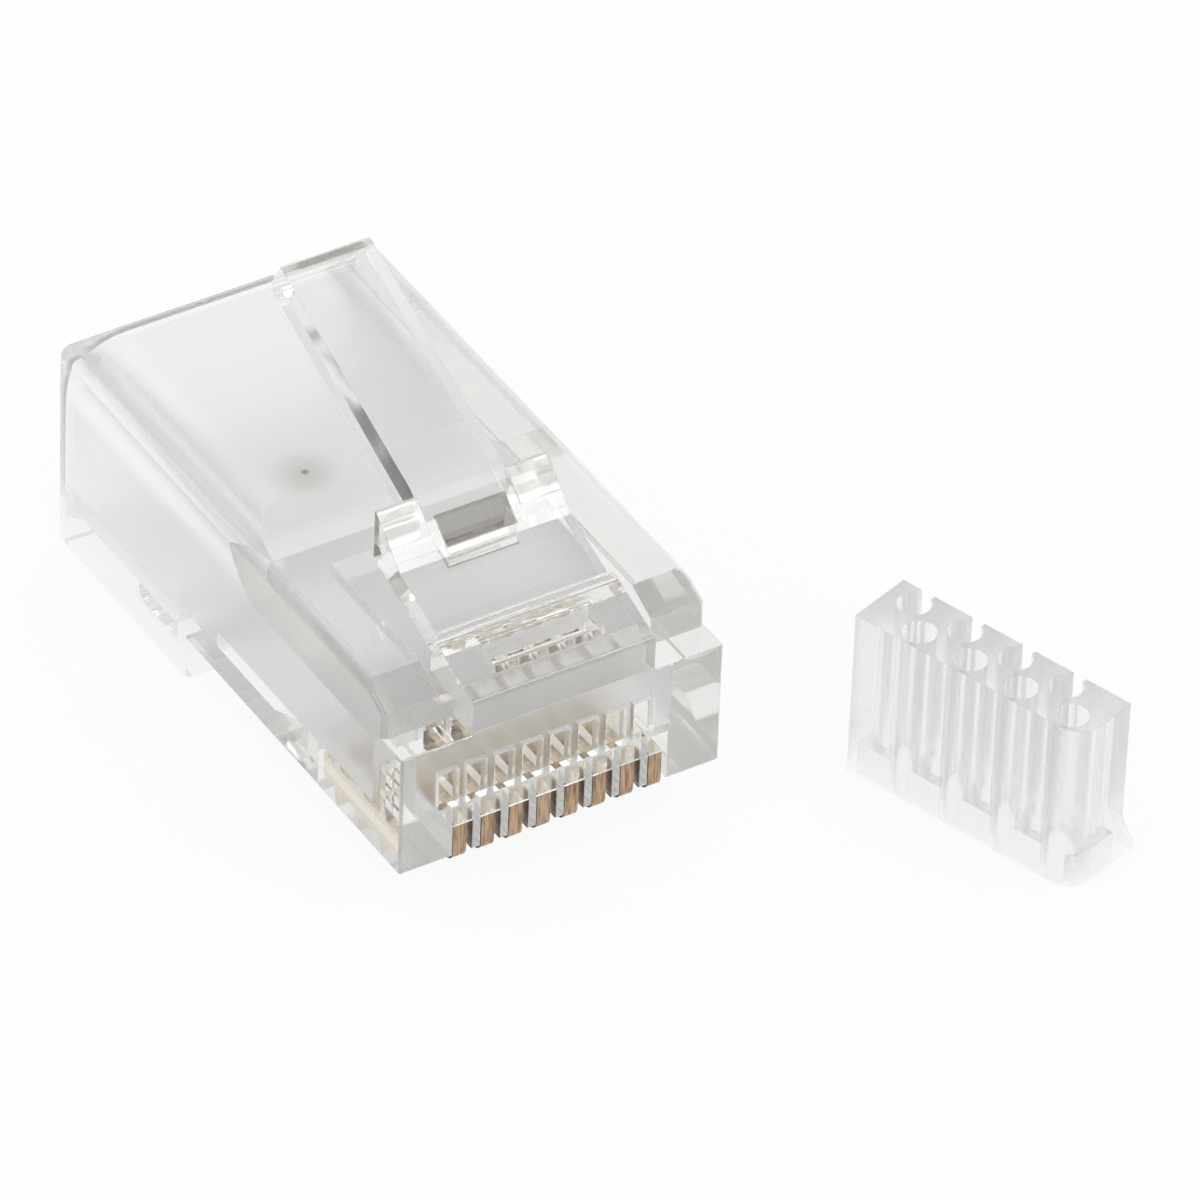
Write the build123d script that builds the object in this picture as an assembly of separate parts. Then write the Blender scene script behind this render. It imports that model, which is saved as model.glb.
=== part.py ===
# Modular plug with eight contacts and a wire guide bar, in millimetres.
# It lies with its contacts down and its latch up. Y runs from the nose to the cable entry.
# Everything is drawn from the nose face, at y = 0, and is set on its rest flat at the end.
from build123d import *
import os

os.makedirs("parts", exist_ok=True)

# Housing envelope
width = 11.68
length = 21.6
height = 8.05
nose_rise = 1.85
step_y = 13.5
ledge_drop = 1.58
shoulder_setback = 1.17
shoulder_drop = 0.57
lead_in_y = 2.4
long_edge_r = 0.4
shoulder_edge_r = 0.2
crisp_edge_r = 0.1

# Contacts
contact_count = 8
pitch = 1.016
blade_thick = 0.48
blade_front_y = 0.15
blade_back_y = 5.9
blade_proud = 0.45
blade_body_h = 0.9
blade_tang_h = 1.6
blade_tang_len = 0.6
blade_nose_r = 0.45
spike_h = 0.7
spike_len = 0.45
spike_pitch = 1.4
spike_count = 3
crimp_stroke = 0.65
blade_side_gap = 0.13
blade_end_gap = 0.1
front_wall = 0.12
window_top_z = 3.05
groove_depth = 0.4
groove_top_z = 4.5
groove_width = 0.76

# Wire guide bar
bar_end_wall = 0.43
bar_thick = 2.4
bar_len = 6.3
wire_hole_d = 1.15
wire_row_gap = 1.0
bar_slot_w = 0.5
bar_lip_proud = 0.65
bar_lip_start = 1.75
bar_lip_flat = 0.35
bar_corner_r = 0.9
bar_funnel_h = 1.2
bar_funnel_wall = 0.3
bar_gap = 0.1
bar_place = (10.38, -0.53)
bar_turn = -71.4

# Hollow inside
chamber_start_y = 2.3
floor_wall = 1.0
roof_wall = 1.05
cavity_corner_r = 1.4
cavity_floor_y = 15.1
cavity_roof_y = 12.0
floor_ramp = 1.2
roof_ramp = 2.0
entry_flare = 0.35

# Latch
latch_width = 6.2
lever_width = 3.25
latch_slope = 0.33
ridge_drop = 0.27
root_len = 2.6
hinge_y = 2.95
hinge_r = 0.5
hinge_gap = 0.04
plate_thick = 1.0
ear_start_y = 4.9
ear_back_y = 6.5
ear_rise = 0.85
ear_top_len = 0.1
latch_window_half = 1.25
latch_window_start_y = 5.15
latch_window_end_y = 5.85
lever_step_rise = 0.5
lever_root_y = 6.9
lever_root_rise = 2.85
lever_end_y = 15.1
lever_end_rise = 6.1
lever_root_thick = 1.6
lever_end_thick = 1.3
lever_bottom_y = 7.6
lever_tip_r = 0.3
well_half = 3.85
well_depth = 0.95
well_end_y = 7.8
root_half = 3.3
pocket_half = 2.0
pocket_start_y = 0.95
pocket_end_y = 1.95
pocket_depth = 0.45
pocket_slot_half = 1.85
pocket_slot_w = 0.18
pocket_slot_depth = 0.6

# Cable clamp in the underside
clamp_half = 3.1
clamp_len = 2.1
clamp_hinge_y = 17.45
clamp_hinge_r = 0.42
clamp_gap = 0.06
clamp_thick = 0.84
clamp_tooth_h = 0.75
clamp_tooth_len = 0.9
clamp_lift = 0.06

# Sizes that follow from the ones above, and two working allowances
half = width / 2
over = 1.0
near = 0.01
ledge_z = height - ledge_drop
shoulder_z = height - shoulder_drop
ridge_z = height - ridge_drop
well_floor_z = height - well_depth
bar_width = (contact_count - 1) * pitch + wire_hole_d + 2 * bar_end_wall
cavity_half = bar_width / 2 + bar_gap
cavity_floor_z = floor_wall
cavity_roof_z = height - roof_wall


def block(x_low, x_high, y_low, y_high, z_low, z_high):
    """A square block between two corners."""
    centre = Pos((x_low + x_high) / 2, (y_low + y_high) / 2, (z_low + z_high) / 2)
    return centre * Box(x_high - x_low, y_high - y_low, z_high - z_low)


def side_plate(points, x_low, x_high):
    """A side profile of (y, z) points, given its thickness across the plug."""
    outline = Polyline(*[(x_low, y, z) for y, z in points], close=True)
    return extrude(make_face(outline), x_high - x_low, dir=(1, 0, 0))


def cross_rod(y, z, radius, half_length):
    """A round rod that lies across the plug."""
    return Pos(0, y, z) * Rot(0, 90, 0) * Cylinder(radius, 2 * half_length)


def edges_at(shape, test):
    """The edges whose middle point passes a test."""
    return ShapeList([edge for edge in shape.edges() if test(edge @ 0.5, edge)])


def contact_x(index):
    """Place of a contact across the plug, counted from the left."""
    return (index - (contact_count - 1) / 2) * pitch


def latch_top(y):
    """Height of the sloping face that runs from the nose ridge up the latch."""
    return ridge_z + latch_slope * y


hinge_z = latch_top(hinge_y) - hinge_r
blade_low_z = nose_rise - blade_proud
blade_top_z = blade_low_z + blade_body_h
tang_top_z = blade_low_z + blade_tang_h
chamber_floor_z = window_top_z
chamber_roof_z = chamber_floor_z + bar_thick + bar_gap
lip_floor_z = chamber_floor_z - bar_lip_proud
chamber_len = bar_len + bar_gap
clamp_hinge_z = clamp_lift + clamp_hinge_r
clamp_front_y = clamp_hinge_y - clamp_len
clamp_window_back_y = clamp_hinge_y + clamp_hinge_r + clamp_gap
rest_y = (clamp_window_back_y + length) / 2


def make_outer_body():
    """The moulded outside: nose block, shoulders and deeper cable end."""
    body = side_plate(
        [
            (0, nose_rise),
            (step_y, nose_rise),
            (step_y, 0),
            (length, 0),
            (length, height),
            (lead_in_y, height),
            (shoulder_setback, shoulder_z),
            (shoulder_setback, ledge_z),
            (0, ledge_z),
        ],
        -half,
        half,
    )
    on_side = lambda p: abs(abs(p.X) - half) < near
    along = lambda e: abs((e % 0.5).Y) > 0.99
    long_edges = edges_at(
        body,
        lambda p, e: on_side(p) and along(e) and (abs(p.Z - height) < near or abs(p.Z) < near),
    )
    body = fillet(long_edges, long_edge_r)
    shoulder = edges_at(
        body,
        lambda p, e: on_side(p) and shoulder_setback - near < p.Y < lead_in_y and p.Z > ledge_z + near,
    )
    body = fillet(shoulder, shoulder_edge_r)
    crisp = edges_at(
        body,
        lambda p, e: abs(p.Y) < near
        or abs(p.Y - length) < near
        or (abs(p.Z - nose_rise) < near and on_side(p))
        or (abs(p.Y - step_y) < near and p.Z < near),
    )
    return fillet(crisp, crisp_edge_r)


def make_latch_root():
    """The block between the shoulders that the latch grows out of, flush with the nose face."""
    root = side_plate(
        [
            (0, ledge_z - over),
            (0, ridge_z),
            (root_len, latch_top(root_len)),
            (root_len, ledge_z - over),
        ],
        -root_half,
        root_half,
    )
    ridge = edges_at(root, lambda p, e: abs(p.Y) < near and abs(p.Z - ridge_z) < near)
    root = fillet(ridge, shoulder_edge_r)
    floor_z = latch_top(pocket_start_y) - pocket_depth
    pocket = block(-pocket_half, pocket_half, pocket_start_y, pocket_end_y, floor_z, height + over)
    pocket += block(
        -pocket_slot_half,
        pocket_slot_half,
        pocket_end_y - pocket_slot_w,
        pocket_end_y,
        floor_z - pocket_slot_depth,
        height,
    )
    seat = cross_rod(hinge_y, hinge_z, hinge_r + hinge_gap, root_half + over)
    return root - pocket - seat


def make_hollow():
    """Chamber of the wire guide bar, and behind it the mouth for the cable's jacket."""
    chamber_end_y = chamber_start_y + chamber_len
    lip_y = chamber_end_y - bar_lip_start - bar_gap
    lip_full_y = chamber_end_y - bar_lip_flat
    front = side_plate(
        [
            (chamber_start_y, chamber_floor_z),
            (lip_y, chamber_floor_z),
            (lip_full_y, lip_floor_z),
            (cavity_floor_y - floor_ramp, lip_floor_z),
            (cavity_floor_y, cavity_floor_z),
            (cavity_floor_y, cavity_roof_z),
            (cavity_roof_y, cavity_roof_z),
            (cavity_roof_y - roof_ramp, chamber_roof_z),
            (chamber_start_y, chamber_roof_z),
        ],
        -cavity_half,
        cavity_half,
    )
    middle_z = (cavity_floor_z + cavity_roof_z) / 2
    mouth_face = Plane(origin=(0, cavity_roof_y - roof_ramp, middle_z), x_dir=(1, 0, 0), z_dir=(0, 1, 0))
    mouth_height = cavity_roof_z - cavity_floor_z
    sleeve = extrude(
        mouth_face * RectangleRounded(2 * cavity_half, mouth_height, cavity_corner_r),
        length + over - (cavity_roof_y - roof_ramp),
    )
    keep_front = block(-half, half, 0, cavity_roof_y - roof_ramp, 0, height)
    tapered = (front & sleeve) + (front & keep_front)
    rear = sleeve & block(-half, half, cavity_floor_y, length + over, 0, height)
    flare_low = Plane(origin=(0, length - entry_flare, middle_z), x_dir=(1, 0, 0), z_dir=(0, 1, 0))
    flare_high = Plane(origin=(0, length + entry_flare, middle_z), x_dir=(1, 0, 0), z_dir=(0, 1, 0))
    flare = loft(
        [
            flare_low * RectangleRounded(2 * cavity_half, mouth_height, cavity_corner_r),
            flare_high
            * RectangleRounded(
                2 * (cavity_half + 2 * entry_flare),
                mouth_height + 4 * entry_flare,
                cavity_corner_r + 2 * entry_flare,
            ),
        ]
    )
    return tapered + rear + flare


def make_housing():
    """The clear housing, with its hollow, contact slots, latch well and clamp window."""
    body = make_outer_body()
    body -= block(-well_half, well_half, -over, well_end_y, well_floor_z, height + over)
    body -= block(-well_half, well_half, -over, shoulder_setback, ledge_z, height + over)
    body += make_latch_root()
    body -= make_hollow()
    slot_half = blade_thick / 2 + blade_side_gap
    groove_half = groove_width / 2
    slot_end_y = blade_back_y + blade_end_gap
    tang_end_y = blade_front_y + blade_tang_len + blade_end_gap
    slot_roof_z = tang_top_z + crimp_stroke + blade_end_gap
    groove_front_y = chamber_start_y - groove_depth
    for index in range(contact_count):
        x = contact_x(index)
        body -= block(x - slot_half, x + slot_half, -over, slot_end_y, 0, window_top_z)
        body -= block(x - slot_half, x + slot_half, front_wall, tang_end_y, 0, slot_roof_z)
        body -= block(
            x - groove_half,
            x + groove_half,
            groove_front_y,
            chamber_start_y + near,
            window_top_z,
            groove_top_z,
        )
    window_front_y = clamp_front_y - clamp_gap
    window_half = clamp_half + clamp_gap
    body -= block(-window_half, window_half, window_front_y, clamp_window_back_y, -over, cavity_floor_z + over)
    return body


def make_latch():
    """The latch: a sloping plate with two locking ears, and the narrow lever behind them."""
    plate_half = latch_width / 2
    lever_half = lever_width / 2
    plate = side_plate(
        [
            (hinge_y, latch_top(hinge_y) - plate_thick),
            (hinge_y, latch_top(hinge_y)),
            (ear_start_y, latch_top(ear_start_y)),
            (ear_back_y, latch_top(ear_back_y)),
            (ear_back_y, latch_top(ear_back_y) - plate_thick),
        ],
        -plate_half,
        plate_half,
    )
    ear_profile = [
        (ear_start_y, latch_top(ear_start_y)),
        (ear_back_y - ear_top_len, latch_top(ear_back_y) + ear_rise),
        (ear_back_y, latch_top(ear_back_y) + ear_rise),
        (ear_back_y, latch_top(ear_back_y) - plate_thick / 2),
        (ear_start_y, latch_top(ear_start_y) - plate_thick / 2),
    ]
    left_ear = side_plate(ear_profile, -plate_half, -lever_half)
    right_ear = side_plate(ear_profile, lever_half, plate_half)
    root_z = height + lever_root_rise
    end_z = height + lever_end_rise
    rise = (end_z - root_z) / (lever_end_y - lever_root_y)
    bottom_z = root_z + rise * (lever_bottom_y - lever_root_y) - lever_root_thick
    lever = side_plate(
        [
            (ear_start_y, latch_top(ear_start_y)),
            (latch_window_end_y, latch_top(latch_window_end_y) + lever_step_rise),
            (lever_root_y, root_z),
            (lever_end_y, end_z),
            (lever_end_y + lever_end_thick * rise, end_z - lever_end_thick),
            (lever_bottom_y, bottom_z),
            (ear_back_y, latch_top(ear_back_y) - plate_thick),
            (ear_start_y, latch_top(ear_start_y) - plate_thick),
        ],
        -lever_half,
        lever_half,
    )
    tip = edges_at(lever, lambda p, e: p.Y > lever_end_y - near and abs(p.X) < near)
    lever = fillet(tip, lever_tip_r)
    barrel = cross_rod(hinge_y, hinge_z, hinge_r, plate_half)
    latch = plate + left_ear + right_ear + lever + barrel
    return latch - block(
        -latch_window_half,
        latch_window_half,
        latch_window_start_y,
        latch_window_end_y,
        height - over,
        root_z,
    )


def make_contact():
    """One insulation-piercing blade, seen from the side: tang, spikes and rounded mating edge."""
    tang_back_y = blade_front_y + blade_tang_len
    points = [
        (blade_front_y, blade_low_z),
        (blade_back_y, blade_low_z),
        (blade_back_y, blade_top_z),
    ]
    first_spike_y = chamber_start_y - groove_depth + blade_end_gap
    for spike in reversed(range(spike_count)):
        spike_y = first_spike_y + spike * spike_pitch
        points += [
            (spike_y + spike_len, blade_top_z),
            (spike_y + spike_len / 2, blade_top_z + spike_h),
            (spike_y, blade_top_z),
        ]
    points += [
        (tang_back_y, blade_top_z),
        (tang_back_y, tang_top_z),
        (blade_front_y, tang_top_z),
    ]
    blade = side_plate(points, -blade_thick / 2, blade_thick / 2)
    low_front = edges_at(blade, lambda p, e: abs(p.X) < near and abs(p.Z - blade_low_z) < near)
    return fillet(low_front, blade_nose_r)


def make_clamp():
    """The hinged wedge that the crimping tool drives up against the cable's jacket."""
    low_z = clamp_lift
    top_z = low_z + clamp_thick
    wedge = side_plate(
        [
            (clamp_front_y, low_z),
            (clamp_hinge_y, low_z),
            (clamp_hinge_y, top_z),
            (clamp_front_y + clamp_tooth_len, top_z),
            (clamp_front_y + clamp_tooth_len / 3, top_z + clamp_tooth_h),
            (clamp_front_y + clamp_gap * 2, top_z),
        ],
        -clamp_half,
        clamp_half,
    )
    return wedge + cross_rod(clamp_hinge_y, clamp_hinge_z, clamp_hinge_r, clamp_half)


def make_bar():
    """The wire guide bar, standing on its funnel end with its slotted face to the back."""
    bar = block(0, bar_width, 0, bar_thick, 0, bar_len)
    uprights = edges_at(bar, lambda p, e: abs(p.Y) < near and abs(p.Z - bar_len / 2) < near)
    bar = fillet(uprights.sort_by(Axis.X)[-1:], bar_corner_r)
    lip = side_plate(
        [
            (bar_thick - over, bar_lip_start),
            (bar_thick, bar_lip_start),
            (bar_thick + bar_lip_proud, bar_lip_flat),
            (bar_thick + bar_lip_proud, 0),
            (bar_thick - over, 0),
        ],
        0,
        bar_width,
    )
    bar += lip
    back_row_y = bar_thick / 2 + wire_row_gap / 2
    front_row_y = bar_thick / 2 - wire_row_gap / 2
    for index in range(contact_count):
        x = bar_width / 2 + contact_x(index)
        row_y = front_row_y if index % 2 else back_row_y
        bar -= Pos(x, row_y, bar_len / 2) * Cylinder(wire_hole_d / 2, bar_len + over)
        if index % 2 == 0:
            slot = block(
                x - bar_slot_w / 2,
                x + bar_slot_w / 2,
                row_y,
                bar_thick + over,
                -over,
                bar_len + over,
            )
            bar -= slot
    funnel = block(
        bar_funnel_wall,
        bar_width - bar_funnel_wall,
        bar_funnel_wall,
        bar_thick - bar_funnel_wall,
        -over,
        bar_funnel_h,
    )
    bar -= funnel
    return Pos(bar_place[0], bar_place[1], 0) * Rot(0, 0, bar_turn) * bar


def write(shape, node):
    """Set a piece on the rest flat's middle and write it."""
    placed = Pos(0, -rest_y, 0) * shape
    placed.label = node
    export_step(placed, f"parts/{node}.step")
    print(node, round(placed.volume, 3), placed.bounding_box())


write(make_housing(), "housing")
write(make_latch(), "latch")
write(make_clamp(), "cable_clamp")
blade = make_contact()
for number in range(contact_count):
    write(Pos(contact_x(number), 0, 0) * blade, f"contact_{number + 1}")
write(make_bar(), "load_bar")
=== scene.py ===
# %% [markdown]
# # A clear modular plug and its wire guide bar
# The object is a crimp-on network plug: a clear moulded housing with a springy latch, eight gold
# contacts standing in its nose, a clamp for the cable underneath, and a small guide bar standing
# apart from it. The solid shapes come from the CAD frame. This file gives them the look of clear
# polycarbonate and gold plate, adds the marks that moulding leaves, and sets up a white studio.

import math

import bpy
import numpy as np
from mathutils import Matrix, Vector

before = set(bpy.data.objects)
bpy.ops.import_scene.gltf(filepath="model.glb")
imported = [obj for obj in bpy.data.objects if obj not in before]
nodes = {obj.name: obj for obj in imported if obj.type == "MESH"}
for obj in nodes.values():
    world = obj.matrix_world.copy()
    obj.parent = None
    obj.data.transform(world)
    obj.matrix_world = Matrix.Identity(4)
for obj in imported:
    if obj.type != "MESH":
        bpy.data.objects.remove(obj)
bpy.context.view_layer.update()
MM = 0.001

# %% [markdown]
# ## The camera
# The picture was taken with a long lens from the front left and above. A long lens far away keeps
# parallel edges nearly parallel, which is how small parts are usually photographed. The camera is
# placed by the angles it looks down from, its distance, and a small roll.

# %% Camera
VIEW_AZIMUTH = -32.68
VIEW_ELEVATION = 38.89
VIEW_ROLL = 2.3
VIEW_DISTANCE = 397.6 * MM
VIEW_TARGET = Vector((7.963, -9.184, 0.0)) * MM
LENS_MM = 370.2
SENSOR_MM = 36.0
NEAREST, FARTHEST = 0.01, 10.0


def place_camera():
    """Camera on a sphere round the target: azimuth turns it about +Z, elevation lifts it.

    Roll then turns the picture.
    """
    turn, lift = math.radians(VIEW_AZIMUTH), math.radians(VIEW_ELEVATION)
    level = math.cos(lift)
    back = Vector((math.sin(turn) * level, -math.cos(turn) * level, math.sin(lift)))
    data = bpy.data.cameras.new("long_lens")
    data.lens, data.sensor_width = LENS_MM, SENSOR_MM
    data.clip_start, data.clip_end = NEAREST, FARTHEST
    camera = bpy.data.objects.new("long_lens", data)
    bpy.context.scene.collection.objects.link(camera)
    aim = (-back).to_track_quat("-Z", "Y").to_matrix().to_4x4()
    spin = Matrix.Rotation(math.radians(VIEW_ROLL), 4, "Z")
    camera.matrix_world = Matrix.Translation(VIEW_TARGET + back * VIEW_DISTANCE) @ aim @ spin
    bpy.context.scene.camera = camera
    return camera


camera = place_camera()
print("camera at, mm:", [round(c / MM, 1) for c in camera.location])

# %% [markdown]
# ## Helpers for materials
# Colours are written as sRGB hex values, as a colour picker shows them, and turned into the linear
# values that the renderer works with. One small function adds a node, sets its values and joins
# its inputs. An input is given by its name, or by its number where a node has several inputs of
# one name, as the Math nodes do.


# %% Colour and node helpers
def linear(hex_code):
    """sRGB hex to linear RGBA.

    c/12.92 up to 0.04045, and ((c + 0.055)/1.055) to the power 2.4 above it.
    """
    srgb = np.array([int(hex_code[i : i + 2], 16) for i in (1, 3, 5)]) / 255
    rgb = np.where(srgb <= 0.04045, srgb / 12.92, ((srgb + 0.055) / 1.055) ** 2.4)
    return (*rgb.tolist(), 1.0)


def add_node(tree, kind, settings=None, inputs=None):
    """Add one shader node, set its own settings, then set or link its inputs."""
    node = tree.nodes.new(kind)
    for name, value in (settings or {}).items():
        setattr(node, name, value)
    for name, value in (inputs or {}).items():
        if isinstance(value, bpy.types.NodeSocket):
            tree.links.new(value, node.inputs[name])
        else:
            node.inputs[name].default_value = value
    return node


def new_material(name):
    """A material with an empty node tree and its output node."""
    material = bpy.data.materials.new(name)
    material.use_nodes = True
    tree = material.node_tree
    tree.nodes.clear()
    return material, tree, tree.nodes.new("ShaderNodeOutputMaterial")


WHITE = linear("#FFFFFF")
print("white:", WHITE, "middle grey:", round(linear("#808080")[0], 3))

# %% [markdown]
# ## Places on the part
# Some finishes cover only a region of a piece. The CAD pieces stay as they are, so a region is
# found in the material instead: a value that is 1 inside a box, or close to a point, mixes one
# finish into the other. Places are written in millimetres from the nose face, as they are measured
# on the part, and NOSE_TO_ORIGIN brings them to the origin of the Object coordinates.

# %% Boxes and a point as masks
NOSE_TO_ORIGIN = 19.765


def inside_box(tree, place, low_mm, high_mm):
    """1 inside a box and 0 outside it.

    Each coordinate is compared with the middle of its range, and the three results are multiplied.
    """
    split = add_node(tree, "ShaderNodeSeparateXYZ", inputs={"Vector": place})
    inside = None
    for axis, low, high in zip("XYZ", low_mm, high_mm):
        near = add_node(
            tree,
            "ShaderNodeMath",
            {"operation": "COMPARE"},
            {0: split.outputs[axis], 1: (low + high) / 2 * MM, 2: (high - low) / 2 * MM},
        ).outputs["Value"]
        if inside is None:
            inside = near
        else:
            both = add_node(tree, "ShaderNodeMath", {"operation": "MULTIPLY"}, {0: inside, 1: near})
            inside = both.outputs["Value"]
    return inside


def inside_boxes(tree, place, boxes):
    """1 inside any of the boxes: the highest of their values."""
    inside = None
    for low_mm, high_mm in boxes:
        one = inside_box(tree, place, low_mm, high_mm)
        if inside is None:
            inside = one
        else:
            either = add_node(tree, "ShaderNodeMath", {"operation": "MAXIMUM"}, {0: inside, 1: one})
            inside = either.outputs["Value"]
    return inside


def near_point(tree, place, point_mm, full_mm, reach_mm):
    """1 within a distance of a point, and falling smoothly to 0 at its reach."""
    away = add_node(
        tree,
        "ShaderNodeVectorMath",
        {"operation": "DISTANCE"},
        {0: place, 1: [c * MM for c in point_mm]},
    )
    near = add_node(
        tree,
        "ShaderNodeMapRange",
        {"interpolation_type": "SMOOTHSTEP"},
        {"Value": away.outputs["Value"], "From Min": reach_mm * MM, "From Max": full_mm * MM},
    )
    return near.outputs["Result"]


print("the nose face lies at y =", -NOSE_TO_ORIGIN, "mm")

# %% [markdown]
# ## The moulded surface
# Plastic shrinks a little as it cools in the mould, which leaves faint waves in flat walls, so
# straight lines seen through them waver slightly. Moulded edges are never sharp either. Both are
# too small to model: a Bevel node rounds the edges in the shading, and a soft noise drives a Bump
# node. Real waves are flatter than these, which are drawn as deep as they need to be to show.

# %% Waves and rounded edges
EDGE_RADIUS = 0.04 * MM
EDGE_SAMPLES = 4
WAVE_SIZE = 1.6 * MM
WAVE_DEPTH = 0.02 * MM
WAVE_STRENGTH = 0.25
WAVE_DETAIL = 1.0
WAVE_ROUGHNESS = 0.4


def moulded_surface(tree, place):
    """The surface's direction: edges rounded first, then the shrink waves on top."""
    rounded = add_node(
        tree, "ShaderNodeBevel", {"samples": EDGE_SAMPLES}, {"Radius": EDGE_RADIUS}
    )
    waves = add_node(
        tree,
        "ShaderNodeTexNoise",
        inputs={
            "Vector": place,
            "Scale": 1 / WAVE_SIZE,
            "Detail": WAVE_DETAIL,
            "Roughness": WAVE_ROUGHNESS,
        },
    )
    surface = add_node(
        tree,
        "ShaderNodeBump",
        inputs={
            "Strength": WAVE_STRENGTH,
            "Distance": WAVE_DEPTH,
            "Height": waves.outputs["Fac"],
            "Normal": rounded.outputs["Normal"],
        },
    )
    return surface.outputs["Normal"]


print("edges rounded by", EDGE_RADIUS / MM, "mm, waves", WAVE_SIZE / MM, "mm wide")

# %% [markdown]
# ## Marks that the mould leaves, and painted shade
# Where the melt came in, the gate leaves a small dark scar on the roof, and a faint round grey
# patch is mixed in round it. The walls of the small window in the latch are painted grey: painted
# shade, standing for the shade and the dark reflections inside the hole. Clear plastic is white
# everywhere else, because each face that light passes multiplies by this colour, and even a slight
# tint would turn the many thin walls dark.

# %% Gate scar, grey patch and painted shade in the latch window
CLEAR = "#FFFFFF"
GATE_PLACE = (-2.24, 12.2 - NOSE_TO_ORIGIN, 8.05)
# a faint round grey patch mixed in round the gate scar
GREY_PATCH_TONE, GREY_PATCH_FULL, GREY_PATCH_REACH = "#D8D6D1", 0.2, 1.5
SCAR_TONE, SCAR_FULL, SCAR_REACH = "#6E6B63", 0.05, 0.2
# painted shade: the latch window's walls are greyed to stand for the shade inside the hole
WINDOW_PAINTED_SHADE = "#8A8780"
WINDOW_SHADE_BOX = ((-1.3, 5.1 - NOSE_TO_ORIGIN, 7.3), (1.3, 5.95 - NOSE_TO_ORIGIN, 10.5))


def moulded_tone(tree, place):
    """Clear plastic, with the grey patch, the scar and the window's painted shade mixed in one
    after another.
    """
    tone = linear(CLEAR)
    for mask, mark in (
        (near_point(tree, place, GATE_PLACE, GREY_PATCH_FULL, GREY_PATCH_REACH), GREY_PATCH_TONE),
        (near_point(tree, place, GATE_PLACE, SCAR_FULL, SCAR_REACH), SCAR_TONE),
        (inside_boxes(tree, place, [WINDOW_SHADE_BOX]), WINDOW_PAINTED_SHADE),
    ):
        mixed = add_node(
            tree,
            "ShaderNodeMixRGB",
            inputs={"Fac": mask, "Color1": tone, "Color2": linear(mark)},
        )
        tone = mixed.outputs["Color"]
    return tone


print("gate scar at, mm:", [round(c, 2) for c in GATE_PLACE])

# %% [markdown]
# ## Clear polycarbonate, injection moulded
# Network plugs are moulded from clear polycarbonate, which bends light more than glass does: its
# IOR is 1.585. The outer mould is polished, so the outside is glossy. The core pin that shapes the
# hollow has a satin finish, so the inner walls scatter what is seen through them, while the narrow
# slots for the contacts stay clear. The guide bar comes from another mould, which is satin all
# over, so it has a second material from the same function.
#
# Depth is given by absorption, not by the surface's colour: the longer the way of the light
# through the plastic, the warmer and greyer it gets.

# %% Polycarbonate
PC_IOR = 1.585
PC_POLISHED = 0.04
PC_SATIN = 0.4
PC_FADE = "#DEDDD6"
PC_FADE_PER_M = 40.0
BAR_SATIN = 0.22
BAR_FADE_PER_M = 28.0
CORE_BOXES = (
    ((-4.95, 2.2 - NOSE_TO_ORIGIN, 3.0), (4.95, 13.0 - NOSE_TO_ORIGIN, 7.2)),
    ((-4.95, 12.0 - NOSE_TO_ORIGIN, 0.9), (4.95, 22.0 - NOSE_TO_ORIGIN, 7.2)),
)


def make_polycarbonate(name, polished, satin, fade_per_m):
    """Clear plastic: one roughness outside, another on the core's walls, and a faint haze."""
    material, tree, out = new_material(name)
    place = add_node(tree, "ShaderNodeTexCoord").outputs["Object"]
    core = inside_boxes(tree, place, CORE_BOXES)
    finish = add_node(
        tree,
        "ShaderNodeMapRange",
        inputs={"Value": core, "To Min": polished, "To Max": satin},
    )
    shader = add_node(
        tree,
        "ShaderNodeBsdfPrincipled",
        inputs={
            "Base Color": moulded_tone(tree, place),
            "Transmission Weight": 1.0,
            "IOR": PC_IOR,
            "Roughness": finish.outputs["Result"],
            "Normal": moulded_surface(tree, place),
        },
    )
    tree.links.new(shader.outputs["BSDF"], out.inputs["Surface"])
    depth = add_node(
        tree,
        "ShaderNodeVolumeAbsorption",
        inputs={"Color": linear(PC_FADE), "Density": fade_per_m},
    )
    tree.links.new(depth.outputs["Volume"], out.inputs["Volume"])
    return material


plug_plastic = make_polycarbonate(
    "polycarbonate_clear_moulded", PC_POLISHED, PC_SATIN, PC_FADE_PER_M
)
bar_plastic = make_polycarbonate(
    "polycarbonate_satin_moulded", BAR_SATIN, BAR_SATIN, BAR_FADE_PER_M
)
print("made", plug_plastic.name, "and", bar_plastic.name)

# %% [markdown]
# ## The contacts' cut edge
# Each contact is stamped from a strip of copper alloy. The die shears its front edge, which keeps
# fine upright streaks, and the browner copper shows through the thin plating there. A noise that is
# stretched along the height gives the streaks. Real ones are finer than these, which are drawn as
# coarse as they need to be to show.

# %% Sheared edge
CUT_DARK, CUT_DARK_TO = "#7C634D", 0.3
CUT_LIGHT, CUT_LIGHT_FROM = "#C6AA8F", 0.6
STREAK_WIDTH = 0.08 * MM
STREAK_STRETCH = (1, 1, 0.08)
STREAK_DETAIL = 2.0


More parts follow.
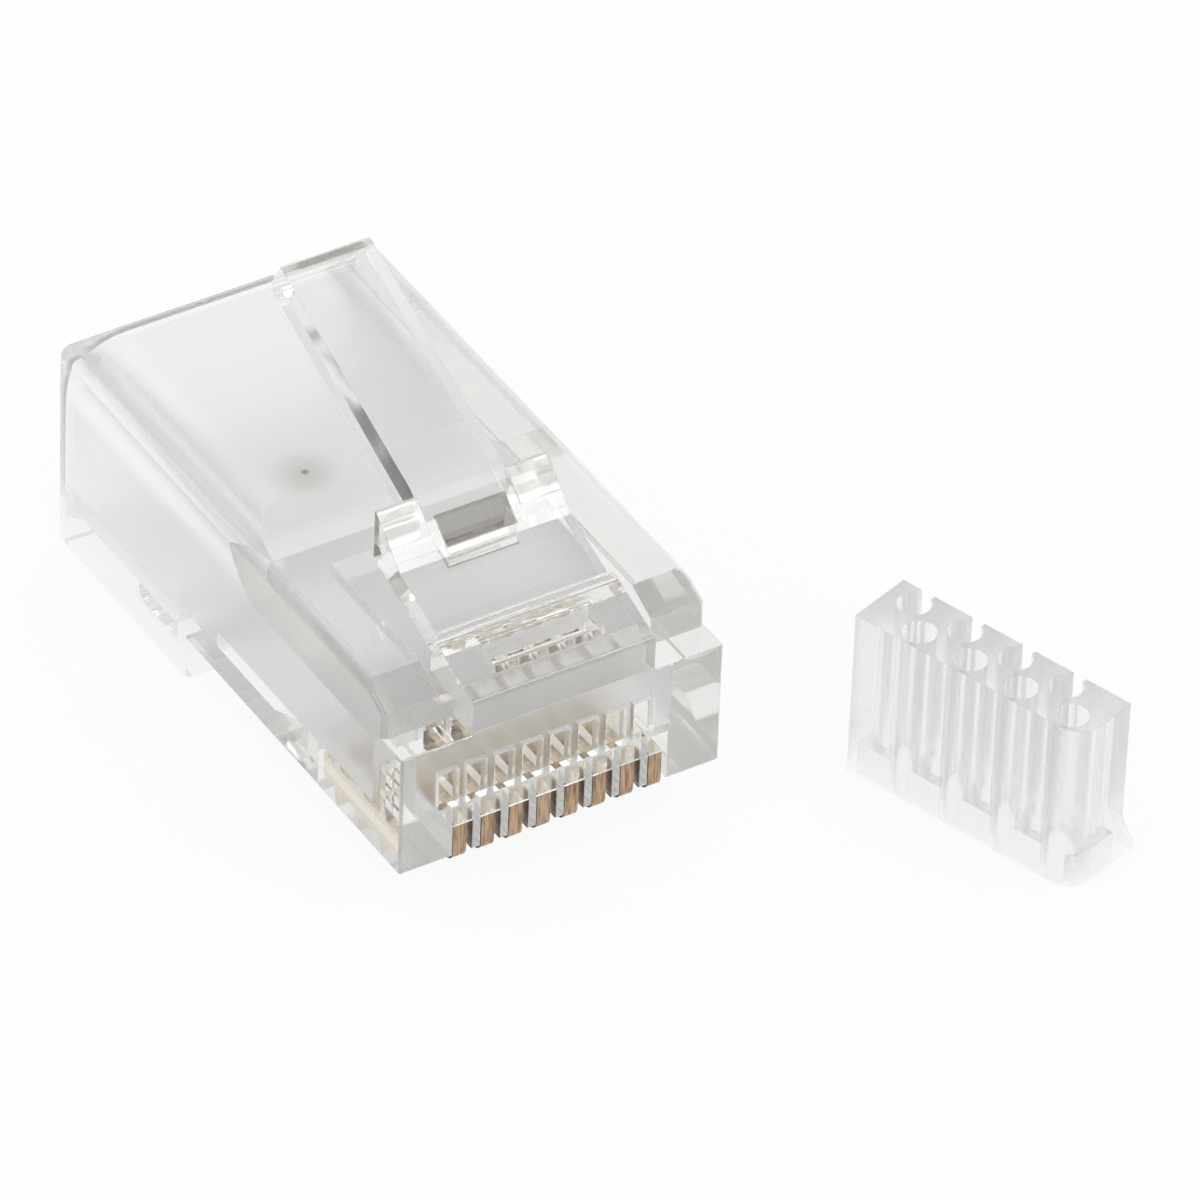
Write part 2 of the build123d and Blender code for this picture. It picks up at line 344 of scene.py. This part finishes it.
def sheared_edge(tree, place):
    """Brown upright streaks: a noise squeezed in height, through a ramp of two browns."""
    upright = add_node(
        tree, "ShaderNodeMapping", inputs={"Vector": place, "Scale": STREAK_STRETCH}
    )
    streaks = add_node(
        tree,
        "ShaderNodeTexNoise",
        inputs={
            "Vector": upright.outputs["Vector"],
            "Scale": 1 / STREAK_WIDTH,
            "Detail": STREAK_DETAIL,
        },
    )
    ramp = add_node(tree, "ShaderNodeValToRGB", inputs={"Fac": streaks.outputs["Fac"]})
    stops = ((CUT_DARK, CUT_DARK_TO), (CUT_LIGHT, CUT_LIGHT_FROM))
    for stop, (tone, position) in zip(ramp.color_ramp.elements, stops):
        stop.color, stop.position = linear(tone), position
    return ramp.outputs["Color"]


print("streaks", STREAK_WIDTH / MM, "mm wide")

# %% [markdown]
# ## Gold plate
# The contacts carry a thin layer of gold, so they are a metal with a pale gold colour. At the
# front end the sheared edge faces forward, and the broad sides are painted dark: painted shade for
# the shadow in the narrow gap between each blade and its slot wall. The normal says which way a
# face looks, and the distance along the plug says where the front end is.

# %% Gold on stamped copper
GOLD = "#E9DFCD"
GOLD_ROUGH = 0.15
CUT_ROUGH = 0.4
# painted shade on the broad sides of the front end, for the shadow in the gap beside each blade
PAINTED_SIDE_SHADE = "#4A3A28"
FRONT_END_LENGTH = 0.8
FRONT_END_BLUR = 0.2
FORWARD_FROM, FORWARD_FULL = -0.5, -0.9


def front_masks(tree, coordinates):
    """Two masks at the front end: faces that look forward, and faces that look sideways, which get
    painted shade.
    """
    facing = add_node(
        tree, "ShaderNodeSeparateXYZ", inputs={"Vector": coordinates.outputs["Normal"]}
    )
    place = add_node(
        tree, "ShaderNodeSeparateXYZ", inputs={"Vector": coordinates.outputs["Object"]}
    )
    end_y = FRONT_END_LENGTH - NOSE_TO_ORIGIN
    at_end = add_node(
        tree,
        "ShaderNodeMapRange",
        inputs={
            "Value": place.outputs["Y"],
            "From Min": (end_y + FRONT_END_BLUR) * MM,
            "From Max": (end_y - FRONT_END_BLUR) * MM,
        },
    )
    forward = add_node(
        tree,
        "ShaderNodeMapRange",
        inputs={
            "Value": facing.outputs["Y"],
            "From Min": FORWARD_FROM,
            "From Max": FORWARD_FULL,
        },
    )
    sideways = add_node(
        tree, "ShaderNodeMath", {"operation": "ABSOLUTE"}, {0: facing.outputs["X"]}
    )
    return [
        add_node(
            tree, "ShaderNodeMath", {"operation": "MULTIPLY"}, {0: way, 1: at_end.outputs["Result"]}
        ).outputs["Value"]
        for way in (forward.outputs["Result"], sideways.outputs["Value"])
    ]


def make_gold():
    """Bright gold, with painted shade on the sides of the front end and streaked brown on its front
    edge.
    """
    material, tree, out = new_material("gold_plate_on_stamped_copper")
    coordinates = add_node(tree, "ShaderNodeTexCoord")
    front, dark = front_masks(tree, coordinates)
    # painted shade mixed onto the front end's sides
    sides = add_node(
        tree,
        "ShaderNodeMixRGB",
        inputs={"Fac": dark, "Color1": linear(GOLD), "Color2": linear(PAINTED_SIDE_SHADE)},
    )
    tone = add_node(
        tree,
        "ShaderNodeMixRGB",
        inputs={
            "Fac": front,
            "Color1": sides.outputs["Color"],
            "Color2": sheared_edge(tree, coordinates.outputs["Object"]),
        },
    )
    rough = add_node(
        tree,
        "ShaderNodeMapRange",
        inputs={"Value": front, "To Min": GOLD_ROUGH, "To Max": CUT_ROUGH},
    )
    shader = add_node(
        tree,
        "ShaderNodeBsdfPrincipled",
        inputs={
            "Base Color": tone.outputs["Color"],
            "Metallic": 1.0,
            "Roughness": rough.outputs["Result"],
        },
    )
    tree.links.new(shader.outputs["BSDF"], out.inputs["Surface"])
    return material


gold = make_gold()
print("made", gold.name)

# %% [markdown]
# ## Dress the CAD pieces
# The housing, the latch and the cable clamp are one moulding in reality, so they share one
# plastic. The CAD pieces keep their own shapes and only take a material.

# %% Materials on the CAD pieces
FINISHES = {
    "housing": plug_plastic,
    "latch": plug_plastic,
    "cable_clamp": plug_plastic,
    "load_bar": bar_plastic,
}
for name, piece in nodes.items():
    piece.data.materials.clear()
    piece.data.materials.append(FINISHES.get(name, gold))
print("dressed:", sorted(nodes))

# %% [markdown]
# ## White paper
# The floor is a wide sheet of white paper. A share of it is plain white to the camera, and a
# slightly smaller share to anything seen by reflection or through clear plastic, so that the plug
# stands on a white page. The rest is ordinary white paper, which keeps the plug's soft shadow. The
# Light Path node tells which kind of ray has met the floor.

# %% Floor
FLOOR_SIZE = 3.0
PAPER = "#F2F2F0"
PAGE_SHARES = {"Is Camera Ray": 0.9, "Is Glossy Ray": 0.83, "Is Transmission Ray": 0.83}


def page_share(tree):
    """How much of the floor is plain white: the highest share among the kinds of the ray."""
    path = add_node(tree, "ShaderNodeLightPath")
    highest = None
    for kind, share in PAGE_SHARES.items():
        part = add_node(
            tree, "ShaderNodeMath", {"operation": "MULTIPLY"}, {0: path.outputs[kind], 1: share}
        ).outputs["Value"]
        if highest is None:
            highest = part
        else:
            higher = add_node(
                tree, "ShaderNodeMath", {"operation": "MAXIMUM"}, {0: highest, 1: part}
            )
            highest = higher.outputs["Value"]
    return highest


def make_floor():
    """A flat square of paper under the object."""
    half = FLOOR_SIZE / 2
    corners = [(-half, -half, 0), (half, -half, 0), (half, half, 0), (-half, half, 0)]
    mesh = bpy.data.meshes.new("paper_floor")
    mesh.from_pydata(corners, [], [(0, 1, 2, 3)])
    floor = bpy.data.objects.new("paper_floor", mesh)
    bpy.context.scene.collection.objects.link(floor)
    material, tree, out = new_material("white_paper")
    paper = add_node(tree, "ShaderNodeBsdfDiffuse", inputs={"Color": linear(PAPER)})
    page = add_node(tree, "ShaderNodeEmission", inputs={"Color": WHITE, "Strength": 1.0})
    mixed = add_node(
        tree,
        "ShaderNodeMixShader",
        inputs={0: page_share(tree), 1: paper.outputs["BSDF"], 2: page.outputs["Emission"]},
    )
    tree.links.new(mixed.outputs["Shader"], out.inputs["Surface"])
    mesh.materials.append(material)
    return floor


floor = make_floor()
print("made", floor.name, "of", FLOOR_SIZE, "m")

# %% [markdown]
# ## White air
# The air round the plug is white too, a little dimmer towards the horizon. Clear plastic shows
# itself by what it reflects, so the air has one small dark gap overhead, as between two soft boxes:
# the left side of the latch lever mirrors it and turns dark along its lower half. The gap is round,
# about four degrees wide to each side, and found by the cosine of the angle from its middle.

# %% World
AIR_AT_HORIZON = 0.80
AIR_ABOVE = 0.90
AIR_ABOVE_FROM = 0.8
GAP_MIDDLE = (0.411, -0.0175, 0.9115)
GAP_DARK_COS, GAP_EDGE_COS = 0.99765, 0.99750


def make_world():
    """White air: a level that rises from the horizon, times 0 in the gap and 1 outside it."""
    world = bpy.data.worlds.new("studio_air")
    bpy.context.scene.world = world
    world.use_nodes = True
    tree = world.node_tree
    tree.nodes.clear()
    out = tree.nodes.new("ShaderNodeOutputWorld")
    way = add_node(tree, "ShaderNodeTexCoord").outputs["Generated"]
    split = add_node(tree, "ShaderNodeSeparateXYZ", inputs={"Vector": way})
    level = add_node(
        tree,
        "ShaderNodeMapRange",
        inputs={
            "Value": split.outputs["Z"],
            "From Min": 0.0,
            "From Max": AIR_ABOVE_FROM,
            "To Min": AIR_AT_HORIZON,
            "To Max": AIR_ABOVE,
        },
    )
    towards = add_node(
        tree, "ShaderNodeVectorMath", {"operation": "DOT_PRODUCT"}, {0: way, 1: GAP_MIDDLE}
    )
    gap = add_node(
        tree,
        "ShaderNodeMapRange",
        {"interpolation_type": "SMOOTHSTEP"},
        {
            "Value": towards.outputs["Value"],
            "From Min": GAP_EDGE_COS,
            "From Max": GAP_DARK_COS,
            "To Min": 1.0,
            "To Max": 0.0,
        },
    )
    strength = add_node(
        tree,
        "ShaderNodeMath",
        {"operation": "MULTIPLY"},
        {0: level.outputs["Result"], 1: gap.outputs["Result"]},
    )
    air = add_node(
        tree,
        "ShaderNodeBackground",
        inputs={"Color": WHITE, "Strength": strength.outputs["Value"]},
    )
    tree.links.new(air.outputs["Background"], out.inputs["Surface"])
    return world


world = make_world()
print("made", world.name, "with a gap", round(math.degrees(math.acos(GAP_EDGE_COS)), 1), "deg")

# %% [markdown]
# ## Lamps
# Three weak square soft boxes, as in a product photograph: one from the left, one from the front,
# and a small one from the upper right that makes the latch's locking ears shine. They stay weak,
# because the air gives most of the light and the pale plastic would clip to white.

# %% Soft boxes
LAMP_AIM = Vector((3, -10, 3)) * MM
SOFT_BOXES = {
    "left_box": {"place_mm": (-260, -40, 170), "size_mm": 120, "watts": 0.16},
    "front_box": {"place_mm": (-60, -300, 220), "size_mm": 100, "watts": 0.10},
    "ear_box": {"place_mm": (140, -195, 240), "size_mm": 70, "watts": 0.08},
}


def add_soft_box(name, place_mm, size_mm, watts):
    """A square area lamp that faces the object."""
    data = bpy.data.lights.new(name, "AREA")
    data.shape, data.size, data.energy = "SQUARE", size_mm * MM, watts
    lamp = bpy.data.objects.new(name, data)
    bpy.context.scene.collection.objects.link(lamp)
    place = Vector(place_mm) * MM
    aim = (LAMP_AIM - place).to_track_quat("-Z", "Y").to_matrix().to_4x4()
    lamp.matrix_world = Matrix.Translation(place) @ aim
    return lamp


for name, lamp in SOFT_BOXES.items():
    add_soft_box(name, **lamp)
print("lamps:", list(SOFT_BOXES))

# %% [markdown]
# ## Finish
# The picture keeps the plain view transform. Light has to cross many walls of clear plastic, so it
# is followed through many bounces: with too few, the thin walls between the contacts turn dark.

# %% View transform and light bounces
LIGHT_BOUNCES = 32
bpy.context.scene.view_settings.view_transform = "Standard"
bpy.context.scene.cycles.max_bounces = LIGHT_BOUNCES
bpy.context.scene.cycles.transmission_bounces = LIGHT_BOUNCES
bpy.context.scene.cycles.glossy_bounces = LIGHT_BOUNCES
